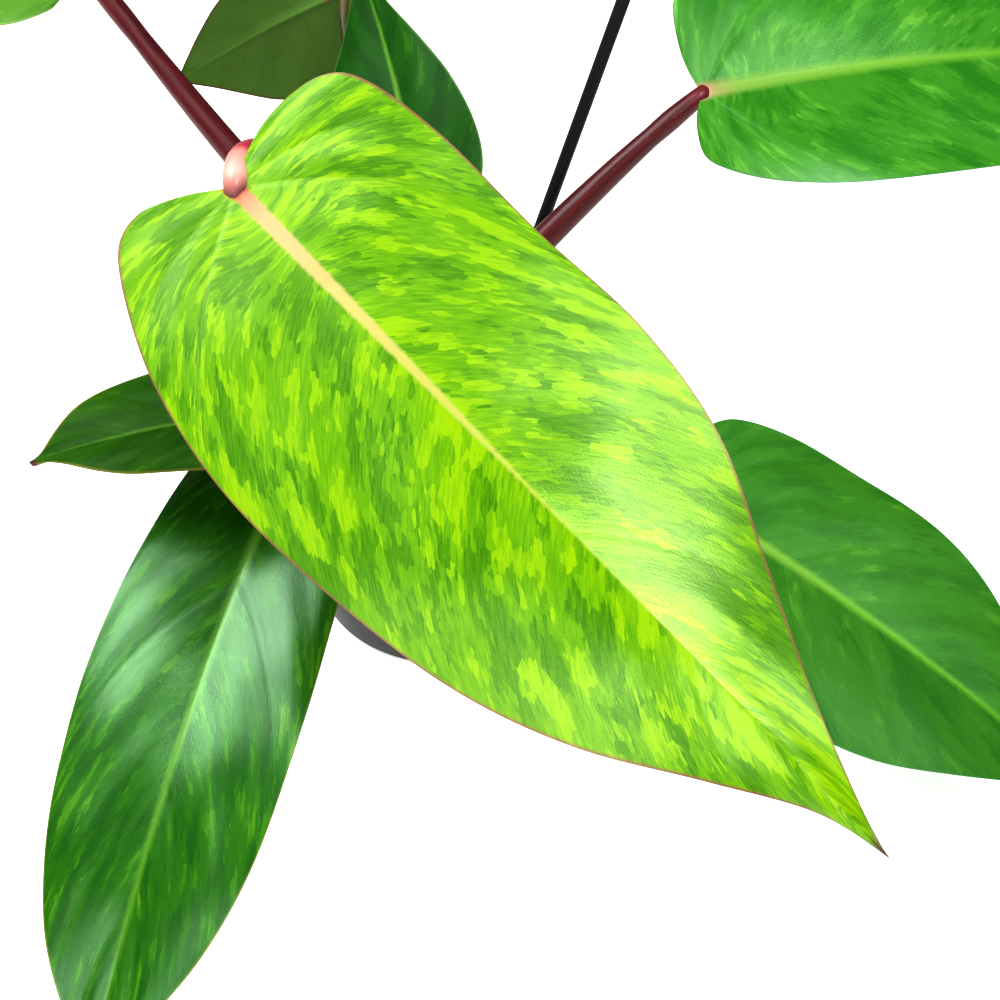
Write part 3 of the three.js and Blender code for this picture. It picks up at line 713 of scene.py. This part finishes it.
def blade_finish(name, tones, deep, light, soft, streaky, rib_stops, rib_width, rib_end, rib_soft,
                 edge, under, vein, joint, dull, glossy, shine=0.5, sheen="#FFFFFF", halo=0):
    """Living leaf with a waxy cuticle. Deep, middle and light green lie in ragged patches along
    the side veins, because each patch comes from one row of growing cells, and the wax gives a
    soft gloss broken up by the cells"""
    made, shader, add = start_finish(name)
    grain = add("Attribute", {}, attribute_name="grain").outputs["Vector"]
    # Millimetres from the midrib, the margin and the nearest side vein, then the share of the
    # blade's length, 1 on the upper side and 0 below, and millimetres from the notch
    place = add("Attribute", {}, attribute_name="place").outputs["Vector"]
    rib, margin, to_vein = add("SeparateXYZ", {0: place}).outputs
    span = add("Attribute", {}, attribute_name="span").outputs["Vector"]
    along, upper, notch = add("SeparateXYZ", {0: span}).outputs

    tone, rows, streak = mottling(add, grain, rib, deep, light, soft, streaky, halo)
    colour = add("ValToRGB", {0: tone}, stops=list(zip((0, 0.12, 0.38, 0.55, 0.8, 1), tones)))

    # Fine side veins, about 0.5 mm wide
    share = add("MapRange", {0: to_vein, 1: 0.1, 2: 0.32, 3: 0.22, 4: 0})
    colour = add("Mix", {0: share, 6: colour, 7: linear(vein)}, data_type="RGBA")
    # Pale midrib with a ragged edge, broad at the notch and narrow or gone towards the tip
    width = add("MapRange", {0: along, 1: 0, 2: rib_end, 3: rib_width, 4: 0.1})
    ragged = add("MapRange", {0: rows.outputs["Color"], 3: -0.2, 4: 0.2})
    inside = add("Math", {0: add("Math", {0: width, 1: ragged}), 1: rib}, operation="SUBTRACT")
    band = add("MapRange", {0: inside, 1: -rib_soft, 2: rib_soft})
    fading = add("MapRange", {0: along, 1: rib_end * 0.8, 2: 0.98, 3: 1, 4: 0.15})
    band = add("Math", {0: band, 1: fading}, operation="MULTIPLY")
    rib_colour = add("ValToRGB", {0: along}, stops=rib_stops)
    colour = add("Mix", {0: band, 6: colour, 7: rib_colour}, data_type="RGBA")
    # Paler underside
    below = add("Mix", {0: 0.72, 6: colour, 7: linear(under)}, data_type="RGBA")
    colour = add("Mix", {0: upper, 6: below, 7: colour}, data_type="RGBA")
    # Thin tinted margin, reddish where the stalk joins, maroon drip tip
    share = add("MapRange", {0: margin, 1: 0.25, 2: 0.85, 3: 0.85, 4: 0})
    colour = add("Mix", {0: share, 6: colour, 7: linear(edge)}, data_type="RGBA")
    share = add("MapRange", {0: notch, 1: 1.2, 2: 3.2, 3: 0.85, 4: 0})
    colour = add("Mix", {0: share, 6: colour, 7: linear(joint)}, data_type="RGBA")
    share = add("MapRange", {0: along, 1: 0.968, 2: 0.985, 3: 0, 4: 0.85})
    colour = add("Mix", {0: share, 6: colour, 7: linear("#5C1C30")}, data_type="RGBA")

    # Cells of the skin, drawn coarser than the real 0.05 mm so that they show
    skin = add("TexNoise", {"Vector": grain, "Scale": 1.6, "Detail": 3, "Roughness": 0.7})
    skin = add("Math", {0: streak, 1: 0.8, 2: skin}, operation="MULTIPLY_ADD")
    bump = add("Bump", {"Height": skin, "Strength": 0.22, "Distance": 0.00025})
    # The wax is dull near the notch and the margin and glossy along the midrib and to the tip
    ripe = add("Math", {0: margin, 1: 0.008, 2: along}, operation="MULTIPLY_ADD")
    rough = add("MapRange", {0: ripe, 1: 0.6, 2: 0.86, 3: dull, 4: glossy})
    rough = add("MapRange", {0: upper, 3: 0.62, 4: rough})
    add(shader, {"Base Color": colour, "Normal": bump, "Roughness": rough, "IOR": 1.45,
                 "Specular IOR Level": shine, "Specular Tint": linear(sheen)})
    return made


NEW_RIB = [(0, "#B07464"), (0.05, "#B89470"), (0.2, "#B0A464"), (0.5, "#9CAC40"), (1, "#8CAC24")]
GREEN_RIB = [(0, "#A89468"), (0.06, "#7CA444"), (0.5, "#66A22C"), (1, "#58981C")]
DARK_RIB = [(0, "#8C6C48"), (0.1, "#5C8C2C"), (1, "#54881C")]
# Share of patches and their edges: sharp and many on the newest blade, faint on the old ones
NEW_MOTTLE = dict(deep=0.48, light=0.54, soft=0.022, streaky=0.3)
CLOUDY = dict(deep=0.47, light=0.6, soft=0.08, streaky=0.1)
FAINT = dict(deep=0.46, light=0.65, soft=0.08, streaky=0.1)

# Each blade: its tones of green from deep to light, mottling, midrib, margin, underside, side
# veins, notch, roughness where the wax is dull and where it is glossy, and strength of its gloss
BLADE_LOOKS = {
    "1": dict(tones=("#386C00", "#407800", "#548800", "#5E9200", "#749F00", "#82A800"),
              **NEW_MOTTLE, rib_stops=NEW_RIB, rib_width=1.95, rib_end=0.57, rib_soft=0.4,
              edge="#804644", under="#8CA850", vein="#98A030", joint="#C02838",
              dull=0.32, glossy=0.18, shine=0.6, sheen="#E8FFB4", halo=0.2),
    "2": dict(tones=("#104600", "#145000", "#205C00", "#286600", "#3E7A08", "#609014"),
              **CLOUDY, rib_stops=DARK_RIB, rib_width=1.7, rib_end=1.05, rib_soft=0.8,
              edge="#6C7418", under="#4C7C3C", vein="#50942C", joint="#A85048",
              dull=0.25, glossy=0.25, shine=1, sheen="#D0FFD4"),
    "3": dict(tones=("#184400", "#1E4E00", "#265A00", "#2C6000", "#447204", "#688A10"),
              **FAINT, rib_stops=DARK_RIB, rib_width=1.1, rib_end=0.9, rib_soft=0.5,
              edge="#707020", under="#4C6C20", vein="#3C7410", joint="#8C3038",
              dull=0.5, glossy=0.5, shine=0.15),
    "4": dict(tones=("#42781A", "#487E1E", "#508624", "#568A28", "#669834", "#7CAA3E"),
              **FAINT, rib_stops=GREEN_RIB, rib_width=1.5, rib_end=0.95, rib_soft=0.6,
              edge="#78A048", under="#7CA858", vein="#6CA840", joint="#A85048",
              dull=0.4, glossy=0.4),
    "5": dict(tones=("#2C4600", "#345000", "#3E5C00", "#426000", "#547208", "#6E8614"),
              **FAINT, rib_stops=DARK_RIB, rib_width=1.2, rib_end=0.9, rib_soft=0.5,
              edge="#44200C", under="#385E00", vein="#486C0C", joint="#8C3038",
              dull=0.5, glossy=0.5),
    "6": dict(tones=("#20680C", "#287410", "#388018", "#428822", "#56982C", "#70A838"),
              **CLOUDY, rib_stops=GREEN_RIB, rib_width=2.5, rib_end=1.1, rib_soft=1.3,
              edge="#3C8038", under="#5C9040", vein="#58A434", joint="#C89080",
              dull=0.38, glossy=0.38, shine=0.6, sheen="#E0FFE0"),
    "7": dict(tones=("#28620E", "#2C6A16", "#36741A", "#3C7A1E", "#488624", "#5C942C"),
              **FAINT, rib_stops=GREEN_RIB, rib_width=1.9, rib_end=1.05, rib_soft=0.9,
              edge="#34742C", under="#447838", vein="#4C942C", joint="#8C3038",
              dull=0.46, glossy=0.46, shine=0.4, sheen="#D0FFD8"),
    "8": dict(tones=("#0A3C00", "#0E4400", "#124C00", "#165200", "#225E00", "#386C04"),
              **FAINT, rib_stops=DARK_RIB, rib_width=1.4, rib_end=1, rib_soft=0.6,
              edge="#48742C", under="#487C2C", vein="#2A6C04", joint="#8C3038",
              dull=0.5, glossy=0.5, shine=0.2),
}


def stalk_finish(name, dark, light, knee_start, knee_stops):
    """Waxy leaf stalk: fine ribs run its length, with pale flecks, and the knee differs"""
    made, shader, add = start_finish(name)
    run = add("Attribute", {}, attribute_name="run").outputs["Vector"]
    share = add("SeparateXYZ", {0: run}).outputs[1]
    # Lengthwise ribs about 0.4 mm wide and flecks about 1 mm long
    ribs = add("Mapping", {0: run, "Scale": (0.06, 0, 26)})
    ribs = add("TexNoise", {"Vector": ribs, "Scale": 1, "Detail": 3})
    shade = add("ValToRGB", {0: ribs}, stops=[(0.35, dark), (0.65, light)])
    flecks = add("Mapping", {0: run, "Scale": (0.45, 0, 14)})
    flecks = add("TexVoronoi", {"Vector": flecks, "Scale": 1})
    flecks = add("MapRange", {0: flecks, 1: 0.06, 2: 0.14, 3: 0.25, 4: 0})
    shade = add("Mix", {0: flecks, 6: shade, 7: linear("#A06858")}, data_type="RGBA")
    knee = add("ValToRGB", {0: share}, stops=knee_stops)
    at_knee = add("MapRange", {0: share, 1: knee_start, 2: knee_start + 0.025})
    colour = add("Mix", {0: at_knee, 6: shade, 7: knee}, data_type="RGBA")
    bump = add("Bump", {"Height": ribs, "Strength": 0.4, "Distance": 0.0002})
    add(shader, {"Base Color": colour, "Normal": bump, "Roughness": 0.38, "IOR": 1.45})
    return made


def shoot_finish():
    """Fleshy pink-red sheath with darker veins along it and a green tip"""
    made, shader, add = start_finish("shoot_sheath")
    run = add("Attribute", {}, attribute_name="run").outputs["Vector"]
    share = add("SeparateXYZ", {0: run}).outputs[1]
    body = add("ValToRGB", {0: share}, stops=[(0, "#A86050"), (0.3, "#C0485A"), (0.75, "#B83C4C"),
                                             (1, "#8C9C3C")])
    lines = add("Mapping", {0: run, "Scale": (0.08, 0, 18)})
    lines = add("TexNoise", {"Vector": lines, "Scale": 1, "Detail": 2})
    colour = add("Mix", {0: lines, 6: body, 7: linear("#8C2438")}, data_type="RGBA")
    bump = add("Bump", {"Height": lines, "Strength": 0.3, "Distance": 0.0003})
    add(shader, {"Base Color": colour, "Normal": bump, "Roughness": 0.36, "IOR": 1.45})
    return made


def mottled_finish(name, cells, stops, bump, roughness, ior=1.5, shine=0.5, squeeze=(1, 1, 1)):
    """One substance with cells of its own size in metres, in tones along the stops, and with
    those cells standing out by the bump in metres"""
    made, shader, add = start_finish(name)
    place = add("NewGeometry", {}).outputs["Position"]
    place = add("Mapping", {0: place, "Scale": squeeze})
    spots = add("TexNoise", {"Vector": place, "Scale": 1 / cells, "Detail": 5, "Roughness": 0.65})
    colour = add("ValToRGB", {0: spots}, stops=stops)
    height = add("Bump", {"Height": spots, "Strength": 0.7, "Distance": bump})
    wear = add("MapRange", {0: spots, 1: 0.3, 2: 0.7, 3: roughness - 0.06, 4: roughness + 0.06})
    add(shader, {"Base Color": colour, "Normal": height, "Roughness": wear, "IOR": ior,
                 "Specular IOR Level": shine})
    return made


def dress(made, finish, slot, *nodes):
    """Gives a piece its finish and hides the solids that it stands for; slot is not used"""
    made.data.materials.clear()
    made.data.materials.append(finish)
    if nodes:
        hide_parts(*nodes)


def grow_leaves():
    """All blades and stalks: the newest stalk has a pink knee with a painted highlight and a
    painted shadow on it, and the stalks in shade are painted dull olive as shade
    """
    maroon = stalk_finish("stalk_skin", dark="#3E0A10", light="#5E141A", knee_start=0.86,
                          knee_stops=[(0.86, "#5E141A"), (0.95, "#702028"), (1, "#A03840")])
    # Painted highlight and painted shadow on the newest knee: its pale pink from 0.885 to 0.915 is
    # partly its own colour and partly a painted highlight, and the dark brown at 0.93 to 0.94 is
    # the painted shadow of the blade's lobe
    pink = stalk_finish("newest_stalk_skin", dark="#5A161E", light="#8C2C34", knee_start=0.8,
                        knee_stops=[(0.8, "#701E28"), (0.87, "#A83040"), (0.885, "#D88C84"),
                                    (0.915, "#E0A89C"), (0.93, "#A86860"), (0.94, "#5C3438"),
                                    (0.95, "#A03038"), (1, "#A03438")])
    # Painted shade: the stalks of leaves 5 and 8 stand in shade and are coloured dull olive instead
    # of maroon
    olive = stalk_finish("shaded_stalk_skin", dark="#2A2C0E", light="#44441A", knee_start=0.86,
                         knee_stops=[(0.86, "#44441A"), (1, "#6C5424")])
    skins = {"1": pink, "5": olive, "8": olive}
    for leaf in LEAVES:
        finish = blade_finish(f"leaf_{leaf.name}_blade", **BLADE_LOOKS[leaf.name])
        dress(blade(leaf), finish, f"leaf_{leaf.name}", f"leaf_{leaf.name}")
        dress(stalk(leaf), skins.get(leaf.name, maroon), "stalk", f"stalk_{leaf.name}")


def grow_stem():
    """Stem, aerial roots and shoot"""
    # Green fleshy stem, browned in rings by the dry remains of old sheaths
    skin = mottled_finish("stem_skin", 0.008, [(0.36, "#4A3018"), (0.47, "#6E5A2C"),
                                               (0.56, "#5E7030"), (0.7, "#7C9440")],
                          bump=0.0006, roughness=0.55, ior=1.45, squeeze=(1, 1, 3.5))
    dress(stem_piece(), skin, "stem", "stem")
    # Dry corky aerial roots, rusty brown and finely cracked
    cork = mottled_finish("aerial_root_cork", 0.0011, [(0.35, "#5A341C"), (0.65, "#A06C3C")],
                          bump=0.0003, roughness=0.8)
    for number, (turn, height) in enumerate(AERIAL_ROOTS):
        dress(aerial_root(number, turn, height), cork, "stem")
    dress(shoot_piece(), shoot_finish(), "shoot", "shoot")


def fill_pot():
    """Pot, stake and potting mix"""
    # Moulded black polypropylene: a satin gloss dulled here and there by dust and splashes
    plastic = mottled_finish("pot_polypropylene", 0.012, [(0.42, "#0C0C0D"), (0.8, "#242223")],
                             bump=0.00006, roughness=0.46, ior=1.49)
    dress(pot_piece(), plastic, "pot_plastic", "pot")
    # Extruded black plastic rod: a fine mottle and a dull satin gloss
    rod = mottled_finish("stake_plastic", 0.0014, [(0.4, "#040404"), (0.7, "#0C0C0C")],
                         bump=0.00003, roughness=0.58, ior=1.49, shine=0.3)
    dress(stake_piece(), rod, "stake", "stake")
    # Damp peat: dark brown fibres that hardly shine, with its crumbs, bark chips and perlite
    peat = mottled_finish("damp_peat", 0.0024, [(0.35, "#140C08"), (0.5, "#2C1C12"),
                                                (0.66, "#4A3220")], bump=0.0012, roughness=0.9)
    dress(soil_piece(), peat, "potting_mix", "soil")
    crumb = mottled_finish("peat_crumb", 0.002, [(0.38, "#1C110A"), (0.62, "#4E3622")],
                           bump=0.0004, roughness=0.9)
    dress(grains("peat_crumbs", CRUMBS, (0.6, 2), 0.8, 4), crumb, "potting_mix")
    bark = mottled_finish("pine_bark", 0.0028, [(0.38, "#3A2214"), (0.62, "#7C5232")],
                          bump=0.0004, roughness=0.85)
    dress(grains("bark_chips", BARK, (1.6, 3.8), 0.4, 5), bark, "potting_mix")
    perlite = mottled_finish("perlite_grain", 0.0017, [(0.38, "#CFCBC0"), (0.62, "#F4F2EC")],
                             bump=0.0003, roughness=0.8)
    dress(grains("perlite", PERLITE, (0.8, 1.8), 0.9, 6), perlite, "potting_mix")


def set_floor():
    """Matt white table, which glows a little so that shadows on it stay faint"""
    mesh = bpy.data.meshes.new("floor")
    mesh.from_pydata([(-4, -4, 0), (4, -4, 0), (4, 6, 0), (-4, 6, 0)], [], [(0, 1, 2, 3)])
    floor = bpy.data.objects.new("floor", mesh)
    bpy.context.scene.collection.objects.link(floor)
    made, shader, add = start_finish("matt_white_table")
    add(shader, {"Base Color": linear("#F6F6F4"), "Roughness": 0.95,
                 "Emission Color": linear("#FFFFFF"), "Emission Strength": 0.6})
    mesh.materials.append(made)


def area_light(name, place, aim, size, power):
    """Soft lamp of a size in metres and a power in watts, turned to what it lights"""
    lamp = bpy.data.lights.new(name, "AREA")
    lamp.shape = "SQUARE"
    lamp.size = size
    lamp.energy = power
    made = bpy.data.objects.new(name, lamp)
    made.location = place
    made.rotation_euler = (Vector(aim) - Vector(place)).to_track_quat("-Z", "Y").to_euler()
    bpy.context.scene.collection.objects.link(made)


def set_lights():
    """Three softboxes whose reflections make the gloss on leaves 1 and 2, in a dim white room"""
    area_light("right_softbox", place=(0.27, -0.53, 0.98), aim=(0.09, -0.19, 0.17), size=0.36,
               power=9)
    area_light("back_softbox", place=(-0.56, -0.02, 0.92), aim=(-0.06, -0.12, 0.07), size=0.52,
               power=8.8)
    area_light("front_softbox", place=(-0.3, -1, 0.48), aim=(0.05, -0.19, 0.15), size=0.3,
               power=3)
    world = bpy.data.worlds.new("white_room")
    world.use_nodes = True
    background = world.node_tree.nodes["Background"]
    background.inputs["Color"].default_value = (1, 1, 1, 1)
    background.inputs["Strength"].default_value = 0.16
    bpy.context.scene.world = world
    view = bpy.context.scene.view_settings
    view.view_transform = "Standard"
    view.exposure = 0.2
    view.gamma = 0.8


def set_camera():
    """Camera at the photo's angle, fitted to the outlines of the leaves"""
    eye = bpy.data.cameras.new("camera")
    eye.lens = LENS
    eye.sensor_width = SENSOR
    eye.clip_start = 0.01
    camera = bpy.data.objects.new("camera", eye)
    camera.location = Vector(CAMERA_PLACE) * MM
    camera.rotation_euler = (CAMERA_TILT, 0, 0)
    bpy.context.scene.collection.objects.link(camera)
    bpy.context.scene.camera = camera


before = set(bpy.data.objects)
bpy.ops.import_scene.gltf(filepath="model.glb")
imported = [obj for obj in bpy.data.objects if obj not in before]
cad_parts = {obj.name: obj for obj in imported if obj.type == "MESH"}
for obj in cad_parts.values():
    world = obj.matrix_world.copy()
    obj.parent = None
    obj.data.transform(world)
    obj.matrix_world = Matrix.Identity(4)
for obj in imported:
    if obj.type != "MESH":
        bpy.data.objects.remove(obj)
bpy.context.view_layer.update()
set_camera()
grow_leaves()
grow_stem()
fill_pot()
set_floor()
set_lights()
